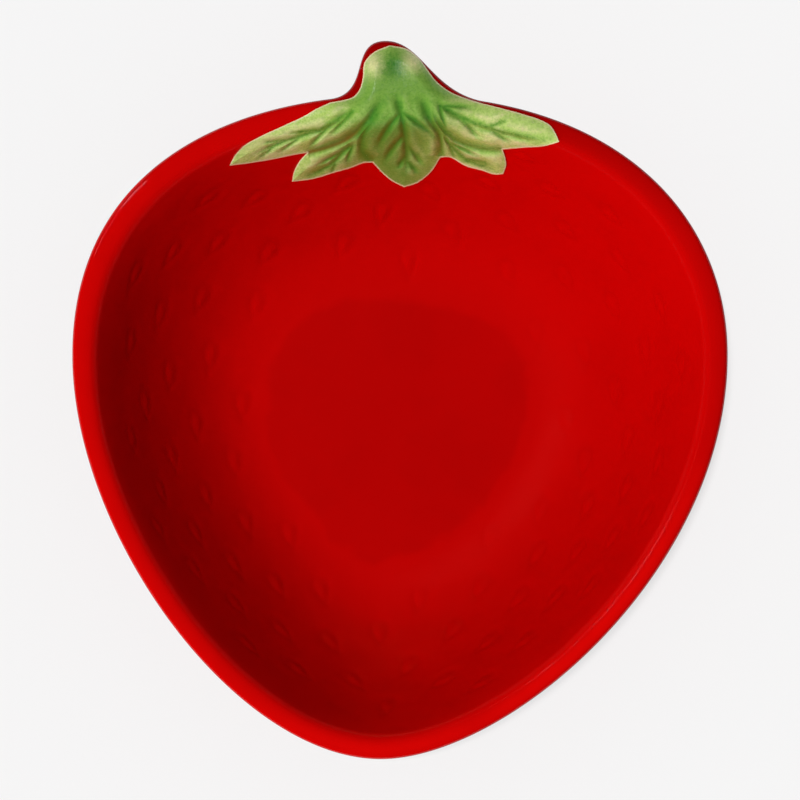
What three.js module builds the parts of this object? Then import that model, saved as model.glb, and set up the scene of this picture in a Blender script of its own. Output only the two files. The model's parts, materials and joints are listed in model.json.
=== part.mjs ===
// An earthenware bowl in the outline of a strawberry, with a moulded calyx of leaves at the rim.
// Millimetres, +Z up. It stands on z = 0, the stem points to +Y and the tip of the berry to -Y.
import * as THREE from 'three';
import { LoftGeometry } from 'three/addons/geometries/LoftGeometry.js';

// Overall sizes
const LENGTH = 160; // from the tip of the berry to the end of the stem lug
const WIDTH = 146; // across the shoulders
const RIM_HEIGHT = 46; // from the table to the top of the lip
const WALL = 5; // wall and floor thickness
const CLEARANCE = 0.3; // slip joint between two clay members

// Section of the bowl, measured across the shoulders
const FLOOR_RADIUS = 30; // flat floor
const FLOOR_SWEEP = 20; // how far the floor's curve runs out before it climbs
const WALL_SWEEP = 18; // how far the wall runs on down from the lip
const WALL_SLOPE = THREE.MathUtils.degToRad(64); // steepness of the wall at the lip
const LIP_OUTER = 1.1; // radius of the lip's outer corner
const LIP_CREST = 9; // radius of its nearly flat top
const LIP_INNER = 2.8; // radius of its inner corner
const FOOT_HEIGHT = 3.2; // how far the foot ring lifts the base
const FOOT_WIDTH = 5;
const FOOT_BEVEL = 0.8;

// Outline of the rim: four curves between the tip, the two shoulders and the crown
const TIP_LEAN = -4.3; // sideways place of the tip
const SHOULDER_DROP = 58; // from the crown of the rim back to its widest line
const LEFT_ROUND = { tip: 32, flank: 40.3, shoulder: 40.9, crown: 39.6 };
const RIGHT_ROUND = { tip: 28.4, flank: 48.3, shoulder: 31.2, crown: 48.6 };

// Stem lug: the tab that stands out of the rim at its crown
const LUG_REACH = 12; // past the crown of the rim
const LUG_LEAN = -3.2; // sideways place of its nose
const LUG_LEFT = { root: 16, flare: 10, nose: 8.6 };
const LUG_RIGHT = { root: 20, flare: 13, nose: 8.4 };
const LUG_FADE = 12; // depth below the lip in which the lug runs out into the wall

// Stem and leaves
const STEM_MARGIN = 1; // red edge left showing round the stem
const STEM_RISE = 3.4; // crown of the stem over its seat
const STEM_BLEND = 0.7; // share of the stem's length in which its crown comes down to the leaves
const DIMPLE_DEPTH = 1;
const DIMPLE_RADIUS = 2.6;
const DIMPLE_SETBACK = 5.5; // from the nose of the lug
const LEAF_THICKNESS = 2; // along a leaf's middle
const LEAF_EDGE = 0.9;
const LEAF_TIP = 0.6; // half the width of a leaf's blunt tip

// Calyx, left to right. A place is [along the rim from the stem, in from the rim's edge].
const LEAF_NAMES = ['left_outer', 'left_inner', 'centre', 'right_inner', 'right_outer'];
const LEAF_ROOTS = [-16, -8.5, -3.7, 3.2, 8, 19]; // along the rim, where two leaves meet at the stem
const LEAF_NOTCHES = [[-22, 2.8], [-24, 10.8], [-7.7, 15], [11.1, 13.7], [26.2, 9.7], [27, 2.6]];
const LEAF_TIPS = [[-42.8, 7.7], [-30.6, 16.1], [1.4, 20.8], [28.8, 14.8], [37.8, 4.5]];
const LEFT_BELLIES = [[-38, 4.6], [-29.6, 13], [-4, 19.8], [20, 15.8], [33, 7.8]]; // pull of the left edges
const RIGHT_BELLIES = [[-34, 10.6], [-18, 17], [8, 20], [29, 12], [36, 2.6]]; // pull of the right edges

// Facets
const FLANK_STEPS = 20;
const SHOULDER_STEPS = 12;
const LUG_STEPS = 9;
const WALL_STEPS = 11;
const LIP_STEPS = 8;
const STEM_STEPS = 9;
const ROOT_STEPS = 7;
const ROOT_CROWDING = 1.7; // a leaf's rows lie closer where it bends over the lip
const BLADE_STEPS = 7;
const LEAF_ACROSS = 6;
const FINE_STEPS = 200; // samples in a curve that is only looked up
const PROBE = 0.3; // half the step that measures a surface's direction

// Places that follow from the sizes
const HALF_WIDTH = WIDTH / 2;
const TIP_Y = -LENGTH / 2;
const CROWN_Y = LENGTH / 2 - LUG_REACH;
const SHOULDER_Y = CROWN_Y - SHOULDER_DROP;
const CENTRE = new THREE.Vector2(0, (CROWN_Y + TIP_Y) / 2);
const CROWN_RADIUS = CROWN_Y - CENTRE.y;
const BASE_Z = FOOT_HEIGHT;
const FLOOR_Z = BASE_Z + WALL;
const SEAT_Z = RIM_HEIGHT + CLEARANCE;

const plan = (x, y) => new THREE.Vector2(x, y);
const mix = THREE.MathUtils.lerp;

// Linear look-up of ys over rising xs.
function lookUp(xs, ys, x) {
  let low = 0;
  let high = xs.length - 1;
  while (high - low > 1) {
    const middle = (low + high) >> 1;
    if (xs[middle] > x) high = middle;
    else low = middle;
  }
  const share = THREE.MathUtils.clamp((x - xs[low]) / (xs[high] - xs[low]), 0, 1);
  return mix(ys[low], ys[high], share);
}

// Rim outline

const tip = plan(TIP_LEAN, TIP_Y);
const crown = plan(0, CROWN_Y);
const rightShoulder = plan(HALF_WIDTH, SHOULDER_Y);
const leftShoulder = plan(-HALF_WIDTH, SHOULDER_Y);

const offset = (point, dx, dy) => plan(point.x + dx, point.y + dy);
const rimCurves = [
  [tip, offset(tip, RIGHT_ROUND.tip, 0), offset(rightShoulder, 0, -RIGHT_ROUND.flank), rightShoulder],
  [rightShoulder, offset(rightShoulder, 0, RIGHT_ROUND.shoulder), offset(crown, RIGHT_ROUND.crown, 0), crown],
  [crown, offset(crown, -LEFT_ROUND.crown, 0), offset(leftShoulder, 0, LEFT_ROUND.shoulder), leftShoulder],
  [leftShoulder, offset(leftShoulder, 0, -LEFT_ROUND.flank), offset(tip, -LEFT_ROUND.tip, 0), tip],
].map((points) => new THREE.CubicBezierCurve(...points));

const angleOf = (point) => Math.atan2(point.y - CENTRE.y, point.x - CENTRE.x);
const TIP_ANGLE = angleOf(tip);
const TURN = 2 * Math.PI;
// Angles count up from the tip, counter-clockwise seen from above.
const fromTip = (angle) => THREE.MathUtils.euclideanModulo(angle - TIP_ANGLE, TURN);

const rimSamples = rimCurves.flatMap((curve) => curve.getPoints(FINE_STEPS).slice(0, FINE_STEPS));
const rimAngles = [...rimSamples.map((point) => fromTip(angleOf(point))), TURN];
const rimRadii = [...rimSamples, tip].map((point) => point.distanceTo(CENTRE));
const rimRadius = (angle) => lookUp(rimAngles, rimRadii, fromTip(angle));

const rimAngle = (along) => Math.PI / 2 - along / CROWN_RADIUS;

// Plan point at a distance along the rim from the stem and in from the rim's edge.
function rimPlace(along, inset) {
  const angle = rimAngle(along);
  const radius = rimRadius(angle) * (1 - inset / CROWN_RADIUS);
  return plan(Math.cos(angle), Math.sin(angle)).multiplyScalar(radius).add(CENTRE);
}

// The same grid the other way: a plan point's distance along the rim and in from its edge.
function rimGrid(point) {
  const angle = angleOf(point);
  const inset = (1 - point.distanceTo(CENTRE) / rimRadius(angle)) * CROWN_RADIUS;
  return plan((Math.PI / 2 - angle) * CROWN_RADIUS, inset);
}

// Stem lug outline: two flanks that leave the rim along its own line and meet at the nose.

const nose = plan(LUG_LEAN, CROWN_Y + LUG_REACH);

function lugFlank(side, sign) {
  const root = rimPlace(sign * side.root, 0);
  const ahead = rimPlace(sign * (side.root - side.flare), 0);
  const flare = ahead.sub(root).setLength(side.flare).add(root);
  return [root, flare, offset(nose, sign * side.nose, 0), nose];
}

const rightFlank = new THREE.CubicBezierCurve(...lugFlank(LUG_RIGHT, 1));
const leftFlank = new THREE.CubicBezierCurve(...lugFlank(LUG_LEFT, -1).reverse());

// Stations round the bowl: a direction from the centre, the rim's radius there and the lug beyond it.

const station = (angle, lug = 0) => ({
  direction: plan(Math.cos(angle), Math.sin(angle)),
  rim: rimRadius(angle),
  lug,
});

function arcStations(from, to, steps) {
  const span = THREE.MathUtils.euclideanModulo(to - from, TURN);
  return Array.from({ length: steps }, (_, i) => station(from + (span * i) / steps));
}

function flankStations(curve) {
  return curve.getPoints(LUG_STEPS).slice(0, LUG_STEPS).map((point) => {
    const angle = angleOf(point);
    return station(angle, Math.max(0, point.distanceTo(CENTRE) - rimRadius(angle)));
  });
}

const rightRoot = rimAngle(LUG_RIGHT.root);
const leftRoot = rimAngle(-LUG_LEFT.root);
const stations = [
  ...arcStations(TIP_ANGLE, angleOf(rightShoulder), FLANK_STEPS),
  ...arcStations(angleOf(rightShoulder), rightRoot, SHOULDER_STEPS),
  ...flankStations(rightFlank),
  ...flankStations(leftFlank),
  ...arcStations(leftRoot, angleOf(leftShoulder), SHOULDER_STEPS),
  ...arcStations(angleOf(leftShoulder), TIP_ANGLE, FLANK_STEPS),
];

// One ring round the bowl: radius is measured across the shoulders, lugShare is how much of the lug it takes.
function ring(radius, z, lugShare = 0) {
  return stations.map(({ direction, rim, lug }) => {
    const reach = (rim * radius) / HALF_WIDTH + lug * lugShare;
    return new THREE.Vector3(CENTRE.x + direction.x * reach, CENTRE.y + direction.y * reach, z);
  });
}

// Section of the wall: the inner line, the round lip and the outer line one wall away

const UPRIGHT = Math.PI / 2;
const LIP_OUT = WALL_SLOPE - UPRIGHT; // where the outer line meets the lip
const LIP_IN = WALL_SLOPE + UPRIGHT; // where the inner line meets it
const polar = (angle, length) => plan(Math.cos(angle), Math.sin(angle)).multiplyScalar(length);

// The lip is three arcs that run on into each other. Its crest turns just as far to both sides as leaves one wall
// between the two lines.
const crestSpan = plan(2 * LIP_CREST - LIP_OUTER - LIP_INNER, LIP_INNER - LIP_OUTER).multiply(polar(LIP_OUT, 1));
const cornerGap = WALL - LIP_OUTER - LIP_INNER;
const LIP_TURN = Math.asin(cornerGap / crestSpan.length()) - Math.atan2(crestSpan.y, crestSpan.x);
const crestInset = LIP_OUTER + (LIP_CREST - LIP_OUTER) * Math.sin(LIP_TURN);
const crestCentre = plan(HALF_WIDTH - crestInset, RIM_HEIGHT - LIP_CREST);

// Point of the lip where its normal has an angle.
function lipPoint(angle) {
  const joint = THREE.MathUtils.clamp(angle, UPRIGHT - LIP_TURN, UPRIGHT + LIP_TURN);
  let radius = LIP_CREST;
  if (angle < joint) radius = LIP_OUTER;
  if (angle > joint) radius = LIP_INNER;
  return polar(joint, LIP_CREST - radius).add(polar(angle, radius)).add(crestCentre);
}

const STEM_FOOT = crestInset; // the stem ends on the crest of the lip
const LEAF_FOOT = STEM_FOOT + CLEARANCE; // and the leaves start just inside it

const innerEnd = lipPoint(LIP_IN);
const innerLine = new THREE.CubicBezierCurve(
  plan(FLOOR_RADIUS, FLOOR_Z),
  plan(FLOOR_RADIUS + FLOOR_SWEEP, FLOOR_Z),
  offset(innerEnd, -WALL_SWEEP * Math.cos(WALL_SLOPE), -WALL_SWEEP * Math.sin(WALL_SLOPE)),
  innerEnd,
);

function outerPoint(share) {
  const along = innerLine.getTangent(share);
  return offset(innerLine.getPoint(share), WALL * along.y, -WALL * along.x);
}

// Height and slope of the bowl's upper surface, from the floor over the lip's crest to its outer edge.
const upperLine = [
  ...innerLine.getPoints(FINE_STEPS),
  ...Array.from({ length: FINE_STEPS }, (_, i) => lipPoint(LIP_IN * (1 - (i + 1) / FINE_STEPS))),
];
const upperRadii = upperLine.map((point) => point.x);
const upperHeights = upperLine.map((point) => point.y);

// Point of the upper surface at a place on the rim's own grid.
function surfacePoint(along, inset) {
  const radius = HALF_WIDTH * (1 - inset / CROWN_RADIUS);
  const spot = rimPlace(along, inset);
  return new THREE.Vector3(spot.x, spot.y, lookUp(upperRadii, upperHeights, radius));
}

// The same point lifted off the surface along its normal.
function liftedPoint(along, inset, lift) {
  const across = surfacePoint(along + PROBE, inset).sub(surfacePoint(along - PROBE, inset));
  const up = surfacePoint(along, inset - PROBE).sub(surfacePoint(along, inset + PROBE));
  const normal = across.cross(up).normalize();
  return surfacePoint(along, inset).addScaledVector(normal, lift);
}

// Bowl body: from the middle of the base up the outside, over the lip and down to the middle of the floor

function bowlBody() {
  const shares = Array.from({ length: WALL_STEPS + 1 }, (_, i) => i / WALL_STEPS);
  const outerTop = lipPoint(LIP_OUT).y;
  const outside = shares.map((share) => {
    const point = outerPoint(share);
    const lugShare = THREE.MathUtils.smoothstep(point.y, outerTop - LUG_FADE, outerTop);
    return ring(point.x, point.y, lugShare);
  });
  const lip = Array.from({ length: LIP_STEPS - 1 }, (_, i) => {
    const angle = mix(LIP_OUT, LIP_IN, (i + 1) / LIP_STEPS);
    const point = lipPoint(angle);
    return ring(point.x, point.y, angle < UPRIGHT ? 1 : 0);
  });
  const inside = shares.toReversed().map((share) => {
    const point = innerLine.getPoint(share);
    return ring(point.x, point.y);
  });
  return new LoftGeometry([ring(0, BASE_Z), ...outside, ...lip, ...inside, ring(0, FLOOR_Z)]);
}

// Foot ring: a bevelled band under the edge of the flat base

function footRing() {
  const outer = FLOOR_RADIUS;
  const inner = FLOOR_RADIUS - FOOT_WIDTH;
  const top = BASE_Z - CLEARANCE;
  const section = [
    [inner + FOOT_BEVEL, 0],
    [outer - FOOT_BEVEL, 0],
    [outer, FOOT_BEVEL],
    [outer, top],
    [inner, top],
    [inner, FOOT_BEVEL],
    [inner + FOOT_BEVEL, 0],
  ];
  return new LoftGeometry(section.map(([radius, z]) => ring(radius, z)));
}

// A leaf or stem is skinned over rows: each loop goes over its top from right to left and back underneath.
// The first and last row are repeated with no thickness, which closes the ends square.
function skin(rows) {
  const loop = ({ top, under }) => [...top, ...under.toReversed()];
  const flat = ({ under }) => loop({ top: under, under });
  return new LoftGeometry([flat(rows[0]), ...rows.map(loop), flat(rows.at(-1))]);
}

// Stem: rows from the nose of the lug to the crest of the lip, each between the lug's two flanks

// A flank moved in by the margin, on the rim's own grid.
function insetFlank(curve, share) {
  const along = curve.getTangent(share);
  return rimGrid(offset(curve.getPoint(share), -STEM_MARGIN * along.y, STEM_MARGIN * along.x));
}

function stemCap() {
  const right = LEAF_ROOTS.at(-1);
  const left = LEAF_ROOTS[0];
  const halfway = (i) => (LEAF_ROOTS[i - 1] + LEAF_ROOTS[i]) / 2;
  const knots = LEAF_ROOTS.flatMap((root, i) => (i ? [halfway(i), root] : [root])).reverse();
  const shares = knots.map((knot) => (right - knot) / (right - left));
  const dimple = offset(nose, 0, -DIMPLE_SETBACK);

  const lifted = (spot, row, share) => {
    const crest = Math.sin(Math.PI * Math.min(1, row / STEM_BLEND));
    const rise = mix(LEAF_THICKNESS, STEM_RISE, crest);
    const dome = LEAF_EDGE + (rise - LEAF_EDGE) * Math.sqrt(Math.max(0, Math.sin(Math.PI * share)));
    const pit = DIMPLE_DEPTH * Math.exp(-((spot.distanceTo(dimple) / DIMPLE_RADIUS) ** 2));
    return new THREE.Vector3(spot.x, spot.y, SEAT_Z + dome - pit);
  };

  const stemRow = (places, row) => {
    const spots = places.map((place) => rimPlace(place.x, place.y));
    return {
      top: spots.map((spot, i) => lifted(spot, row, shares[i])),
      under: spots.map((spot) => new THREE.Vector3(spot.x, spot.y, SEAT_Z)),
    };
  };

  const rows = Array.from({ length: STEM_STEPS }, (_, i) => {
    const row = (i + 1) / (STEM_STEPS + 1);
    const rightEdge = insetFlank(rightFlank, 1 - row);
    const leftEdge = insetFlank(leftFlank, row);
    return stemRow(shares.map((share) => rightEdge.clone().lerp(leftEdge, share)), row);
  });
  return skin([...rows, stemRow(knots.map((knot) => plan(knot, STEM_FOOT)), 1)]);
}

// Leaves: rows from the crest of the lip to the tip, each between the leaf's two edges

// An edge runs straight from its root to the notch, then curves to its own side of the tip.
function leafEdge(root, notch, belly, end) {
  const blunt = plan(...belly).sub(plan(...end)).setLength(LEAF_TIP).add(plan(...end));
  const valley = new THREE.LineCurve(plan(root, LEAF_FOOT), plan(...notch));
  const shares = Array.from({ length: ROOT_STEPS + 1 }, (_, i) => (i / ROOT_STEPS) ** ROOT_CROWDING);
  const straight = shares.map((share) => valley.getPoint(share));
  const curved = new THREE.QuadraticBezierCurve(plan(...notch), plan(...belly), blunt);
  return [...straight, ...curved.getPoints(BLADE_STEPS).slice(1)];
}

function leafBlade(index) {
  const end = LEAF_TIPS[index];
  const left = leafEdge(LEAF_ROOTS[index], LEAF_NOTCHES[index], LEFT_BELLIES[index], end);
  const right = leafEdge(LEAF_ROOTS[index + 1], LEAF_NOTCHES[index + 1], RIGHT_BELLIES[index], end);
  const rows = left.length - 1;
  return skin(left.map((leftEdge, row) => {
    const width = leftEdge.distanceTo(right[row]);
    const pull = Math.min(CLEARANCE / 2, width / 4) / width; // half the slip joint on each side
    const crest = (LEAF_THICKNESS - LEAF_EDGE) * (1 - (row / rows) ** 2);
    const top = [];
    const under = [];
    for (let i = 0; i <= LEAF_ACROSS; i++) {
      const across = i / LEAF_ACROSS;
      const spot = right[row].clone().lerp(leftEdge, mix(pull, 1 - pull, across));
      const thickness = LEAF_EDGE + crest * 4 * across * (1 - across);
      under.push(liftedPoint(spot.x, spot.y, CLEARANCE));
      top.push(liftedPoint(spot.x, spot.y, CLEARANCE + thickness));
    }
    return { top, under };
  }));
}

// Finishes and assembly

const redGlaze = () => new THREE.MeshStandardMaterial({ color: 0xb40202, roughness: 0.15, metalness: 0 });
const bareClay = () => new THREE.MeshStandardMaterial({ color: 0xd9c3a5, roughness: 0.8, metalness: 0 });
const leafGlaze = () => new THREE.MeshStandardMaterial({ color: 0x8fa653, roughness: 0.25, metalness: 0 });

function piece(name, geometry, material) {
  const mesh = new THREE.Mesh(geometry, material);
  mesh.name = name;
  return mesh;
}

const strawberryBowl = new THREE.Group();
strawberryBowl.add(
  piece('bowl_body', bowlBody(), redGlaze()),
  piece('foot_ring', footRing(), bareClay()),
  piece('stem_cap', stemCap(), leafGlaze()),
  ...LEAF_NAMES.map((name, index) => piece(`sepal_${name}`, leafBlade(index), leafGlaze())),
);

export default strawberryBowl;
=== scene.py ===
"""Glazed surfaces and a small studio for an earthenware bowl in the outline of a strawberry.

The bowl is a section carried round the outline of a berry, with seeds pressed into its wall. The calyx is one
relief over the lip, cut into a stem and five leaves along the lines that they share. Formulas are in
millimetres and meshes in metres. The stem points to +Y and the tip of the berry to -Y.
"""

import json
import math

import bpy
import numpy as np
from bpy.props import FloatProperty, FloatVectorProperty, PointerProperty
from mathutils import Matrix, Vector

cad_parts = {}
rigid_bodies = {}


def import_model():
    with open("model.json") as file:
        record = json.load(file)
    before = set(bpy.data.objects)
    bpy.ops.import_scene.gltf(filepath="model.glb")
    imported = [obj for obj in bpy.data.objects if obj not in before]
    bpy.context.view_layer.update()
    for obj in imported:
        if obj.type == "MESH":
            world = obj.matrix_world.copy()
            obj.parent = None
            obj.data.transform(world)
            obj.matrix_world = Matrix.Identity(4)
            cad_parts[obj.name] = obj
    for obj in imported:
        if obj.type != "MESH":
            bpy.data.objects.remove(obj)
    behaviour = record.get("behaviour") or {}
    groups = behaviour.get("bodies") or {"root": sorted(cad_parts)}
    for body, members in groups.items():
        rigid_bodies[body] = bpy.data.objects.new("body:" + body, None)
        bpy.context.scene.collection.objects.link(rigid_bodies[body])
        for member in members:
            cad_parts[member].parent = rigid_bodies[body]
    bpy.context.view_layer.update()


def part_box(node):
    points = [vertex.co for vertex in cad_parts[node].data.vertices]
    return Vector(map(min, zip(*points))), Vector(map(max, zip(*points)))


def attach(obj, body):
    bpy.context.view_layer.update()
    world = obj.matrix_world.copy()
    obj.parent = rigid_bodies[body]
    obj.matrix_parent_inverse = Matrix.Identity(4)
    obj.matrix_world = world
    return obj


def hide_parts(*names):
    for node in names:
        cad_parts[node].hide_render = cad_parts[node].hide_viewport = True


bl_info = {
    "name": "Strawberry bowl",
    "version": (1, 0, 0),
    "blender": (4, 5, 0),
    "location": "View3D > Sidebar > Bowl",
    "description": "Builds a glazed strawberry bowl and its studio over a packed frame",
    "category": "Add Mesh",
}

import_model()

MM = 0.001
TURN = 2 * math.pi
GOLDEN_ANGLE = math.pi * (3 - math.sqrt(5))
TINY = 1e-9

# Driving sizes, read from the frame
BODY_LOW, BODY_HIGH = (np.array(corner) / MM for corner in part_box("bowl_body"))
FOOT_LOW, FOOT_HIGH = (np.array(corner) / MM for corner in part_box("foot_ring"))
STEM_HIGH = np.array(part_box("stem_cap")[1]) / MM
HALF_WIDTH = (BODY_HIGH[0] - BODY_LOW[0]) / 2
RIM_HEIGHT = BODY_HIGH[2]
BASE_HEIGHT = BODY_LOW[2]
TIP_Y = BODY_LOW[1]
NOSE_Y = BODY_HIGH[1]
CENTRE = np.array([(BODY_LOW[0] + BODY_HIGH[0]) / 2, (FOOT_LOW[1] + FOOT_HIGH[1]) / 2])
CROWN_RADIUS = CENTRE[1] - TIP_Y
CROWN_Y = CENTRE[1] + CROWN_RADIUS
FOOT_RADIUS = (FOOT_HIGH[0] - FOOT_LOW[0]) / 2

# Outline of the rim: pulls of its four curves, as in the solid
SHOULDER_DROP = 58.0
TIP_LEAN = -4.3
RIGHT_PULLS = {"tip": 28.4, "flank": 48.3, "shoulder": 31.2, "crown": 48.6}
LEFT_PULLS = {"tip": 32.0, "flank": 40.3, "shoulder": 40.9, "crown": 39.6}

# Stem lug: where its flanks leave the rim, and their pulls
LUG_LEAN = -3.2
LUG_RIGHT = {"root": 20.0, "flare": 13.0, "nose": 8.4}
LUG_LEFT = {"root": 16.0, "flare": 10.0, "nose": 8.6}
LUG_FADE = 12.0
# Degrees to each side of the crest in which the lug gives way to the rim
LUG_TURN = 10.0

# Calyx. A place is (x, y) in plan, as it is seen at the rim's height.
STEM_TOP = (-2.3, 78.9)
STEM_LEFT = ((-5.9, 77.3), (-7.8, 75.3), (-8.3, 71.6), (-8.9, 69.3), (-10.3, 67.5), (-12.7, 66.7))
STEM_RIGHT = ((1.7, 78.0), (3.9, 76.4), (6.1, 73.5), (8.0, 71.0), (10.6, 68.9), (15.0, 67.0))
SEAM_LEFT = (-15.5, 66.2)
SEAM_RIGHT = (18.6, 65.9)
SEAM_SAG = 0.7
# Shares of a leaf's length at its end and where its rows leave the seam's bend, and of the stem's likewise
LEAF_END = 0.997
LEAF_SETTLE = 0.4
STEM_BEND = 0.45
DIMPLE = (-1.3, 74.3)
# Two spots beside the dimple that rise a little and carry a painted highlight
HIGHLIGHT_SPOTS = ((-5.9, 74.6), (3.2, 75.4))
CROWN = (0.0, 68.0)
LEAF_NAMES = ("left_outer", "left_inner", "centre", "right_inner", "right_outer")
LEAF_TIPS = ((-37.9, 52.1), (-24.0, 48.5), (0.9, 47.3), (22.9, 50.2), (35.4, 57.4))
VALLEYS = (
    (SEAM_LEFT, (-18.8, 64.7)),
    ((-4.6, 65.5), (-7.1, 62.1), (-9.6, 59.6), (-12.7, 57.5), (-16.1, 56.2), (-20.6, 55.0)),
    ((-3.6, 65.5), (-5.9, 62.6), (-8.1, 58.8), (-8.4, 55.4), (-6.1, 52.8)),
    ((5.4, 65.5), (7.0, 61.7), (8.6, 59.5), (9.2, 56.5), (9.0, 53.9)),
    ((6.5, 65.5), (8.2, 62.2), (10.4, 59.5), (12.8, 57.7), (16.0, 56.4), (19.5, 55.7), (22.8, 55.7)),
    (SEAM_RIGHT, (21.9, 65.1)),
)
LEFT_EDGES = (
    ((-21.1, 63.3), (-25.7, 61.1), (-31.5, 58.4), (-34.9, 56.4), (-36.9, 54.1)),
    ((-22.6, 52.7), (-23.6, 50.6)),
    ((-4.1, 50.6), (-1.7, 48.6)),
    ((10.6, 54.0), (14.8, 51.9), (18.2, 51.0), (21.3, 50.1)),
    ((27.5, 56.1), (32.2, 56.5)),
)
RIGHT_EDGES = (
    ((-24.0, 54.4), (-27.3, 53.7), (-33.1, 52.7)),
    ((-7.9, 52.7), (-10.6, 51.7), (-14.4, 50.6), (-19.0, 49.2)),
    ((6.8, 50.6), (3.9, 48.3)),
    ((23.3, 54.1), (23.6, 52.4)),
    ((28.0, 63.4), (31.5, 62.2), (33.5, 61.0), (34.6, 59.3)),
)
MIDRIBS = (
    ((-9.3, 65.0), (-12.1, 63.6), (-16.6, 60.6), (-22.5, 58.6), (-28.7, 56.3), (-36.0, 52.9)),
    ((-9.3, 57.5), (-12.5, 55.2), (-14.3, 53.2), (-19.3, 50.3), (-23.0, 48.9)),
    ((-1.1, 68.3), (0.2, 63.9), (1.1, 59.0), (1.5, 53.8), (1.2, 48.6)),
    ((8.9, 60.0), (10.2, 57.9), (12.3, 55.5), (14.1, 53.8), (17.0, 52.5), (22.4, 50.7)),
    ((7.4, 67.2), (9.2, 65.4), (12.5, 63.5), (16.5, 61.6), (20.3, 60.3), (27.0, 58.6), (34.6, 57.5)),
)
# Side veins: share of the midrib where one leaves it, its turn in degrees and its reach before its stretch
FORKS = (
    ((0.04, 22, 7.2), (0.26, 20, 7.2), (0.48, 20, 6.8), (0.68, 16, 6.0), (0.34, -14, 7.0), (0.58, -14, 6.0)),
    ((0.10, 38, 4.2), (0.42, 30, 3.6), (0.22, -12, 7.5)),
    ((0.24, -50, 9.0), (0.22, 40, 9.3), (0.49, -48, 7.2), (0.59, 34, 5.7), (0.71, -36, 3.4), (0.78, 48, 3.6)),
    ((0.22, -22, 3.6), (0.20, 24, 7.4), (0.50, 14, 6.0)),
    ((0.10, 36, 6.5), (0.48, 40, 4.4), (0.07, -38, 6.8), (0.26, -24, 6.0), (0.50, -20, 5.4)),
)
# Creases between the leaves: the valley, places where it starts on the crown, share of the depth, and brown
CREASES = (
    (1, ((-2.7, 68.3),), 1.0, 1.0),
    (2, (), 0.5, 0.0),
    (3, ((4.3, 68.2),), 0.9, 0.1),
    (4, (), 0.9, 0.3),
)

# Facets
FINE = 400
STATIONS = 592
BASE_ROWS = 4
OUTER_ROWS = 50
LIP_ROWS = 28
INNER_ROWS = 82
FLOOR_ROWS = 4
FOOT_STATIONS = 320
CORNER_ROWS = 7
LEAF_ROWS = 130
LEAF_COLUMNS = 80
STEM_ROWS = 96
STEM_COLUMNS = 130
LINE_STEPS = 17

# Seeds: distance where none is near, how much one narrows, how its swell, groove and tints fade, and where
# they lie: over the floor or base, under the rim, and turned by an angle in radians
SEED_FAR = 4.0
SEED_TAPER = 0.42
SWELL_END = 0.8
GROOVE_WIDTH = 0.42
GROOVE_IN = (0.5, 1.0)
GROOVE_OUT = (1.0, 1.5)
SEED_MIDDLE = (0.1, 0.8)
SEEDS_INSIDE = {"above": 0.4, "below": 8.0, "turn": 0.6}
SEEDS_OUTSIDE = {"above": 2.0, "below": 9.0, "turn": 0.2}

# Red glaze: how wide the lip's tint is, and the shares of the radius where the floor and its curve end
LIP_SPREAD = 2.5
FLOOR_EDGE = (0.395, 0.43)
CURVE_EDGE = (0.52, 0.66)
OUTSIDE_EDGE = (0.985, 1.0)
# Painted shade on the lip by the stem and on its upper right: where it begins on the left, fades on the
# right, begins in y and ends downward
SHADE_LEFT = (-22, -12)
SHADE_RIGHT = (28, 38)
SHADE_LOSS = 0.6
SHADE_BACK = (35, 60)
SHADE_DEPTH = (8, 3)
# Painted light on the lip: on the right flank, along a way in plan, and round the tip
LIT_FLANK = 0.8
FLANK_WAY = (0.75, -0.66)
FLANK_REACH = (55, 68)
LIT_TIP = 0.45
TIP_REACH = (66, 78)
# Height at which the glaze ends on the foot, and how the glazes bend light
GLAZE_LINE = (2.5, 2.75)
GLAZE_REFRACTION = 1.5
RED_REFRACTION = 1.4

# Relief: grooves' widths, shares of their length in which they fade in and out, the veins' stretch and bend
MIDRIB_WIDTH, VEIN_WIDTH, CREASE_WIDTH = 0.85, 0.65, 1.0
MIDRIB_FADES = (0.15, 0.3)
VEIN_FADES = (0.02, 0.5)
VEIN_STRETCH = 1.2
VEIN_BEND = (1.15, 0.7)
CREASE_FADES = (0.25, 0.02)
# Relief: reaches and widths of the crown, the stem, the dimple and the spots of painted highlight, and where
# olive glaze and painted shade run down the wall
CROWN_REACH = (6, 16)
CROWN_SQUEEZE = 0.8
STEM_START = (-1, 6)
STEM_SETTLE = 1.1
DIMPLE_WIDTH = 2.9
SPOT_WIDTH = 2.4
SPOT_RISE = 0.2
OLIVE_SHADE_REACH = (65, 59)
OLIVE_SHADE_MIDDLE = -4
OLIVE_SHADE_WIDTH = 14
# Masks round a groove, in shares of its width, and the share of its length where the brown starts
VEIN_SHARE, FOLD_SHARE, RIDGE_PLACE, RIDGE_SHARE, JOINT_SHARE = 0.75, 1.9, 2.0, 0.9, 0.55
JOINT_START = (0.35, 0.6)
# Leaf glaze: x where painted light makes it paler on the shoulders, more to the left and less to the right, x
# where the warm side ends, and its thin free edge
SHOULDERS = (8, 30)
LEFT_SHOULDER = (-22, -34)
RIGHT_SHOULDER = (20, 30)
WARM_EDGE = (-12, 6)
EDGE_REACH = 1.6
# How far the relief and the foot are sunk into the bowl
RELIEF_SUNK = 0.35
FOOT_SUNK = 0.3

# Floor: half its side, and a gap under the foot that keeps two faces from lying in one plane
FLOOR_REACH = 4000.0
FLOOR_GAP = 0.05
# Sines of the elevation between which the pale backdrop fades out
BACKDROP_FADE = (0.065, 0.085)
# The camera's range in metres
NEAREST_SEEN, FARTHEST_SEEN = 0.05, 20
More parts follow.
